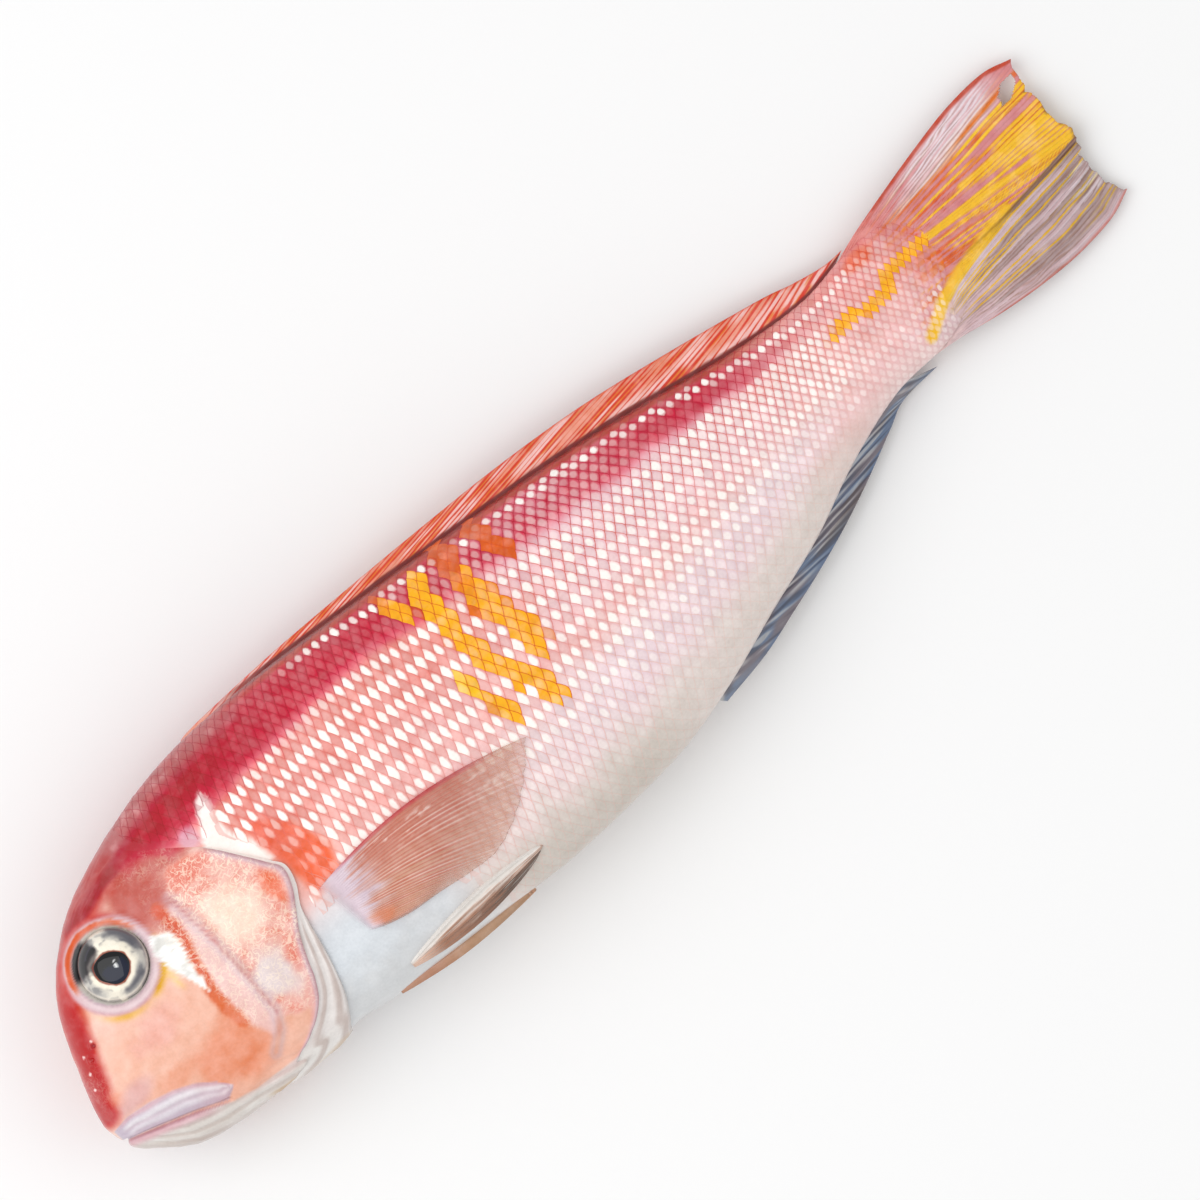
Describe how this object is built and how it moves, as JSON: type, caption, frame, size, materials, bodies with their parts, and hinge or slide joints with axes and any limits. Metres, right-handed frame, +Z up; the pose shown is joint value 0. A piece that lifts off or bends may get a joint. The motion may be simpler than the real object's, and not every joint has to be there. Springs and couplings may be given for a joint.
{
  "type": "whole raw fish",
  "caption": "Whole raw fish lying on its side, with a blunt head, scaly skin, folded fins and a ragged tail, for a kitchen, market stall or fish counter.",
  "frame": {"origin": "on the surface it lies on, under the middle of its box", "axes": "+X from the snout to the tail, +Y from the belly to the back, +Z up, out of the left flank"},
  "size_m": [0.3498, 0.0928, 0.0446],
  "materials": {
    "skin": "wet scaly skin, pink-red over the back, silvery pink on the flank and off-white below",
    "eye": "wet clear eye, silver and gold iris with a blue-black pupil"
  },
  "bodies": {
    "root": {"fish_body": "skin", "eye_left": "eye", "eye_right": "eye"}
  },
  "joints": []
}
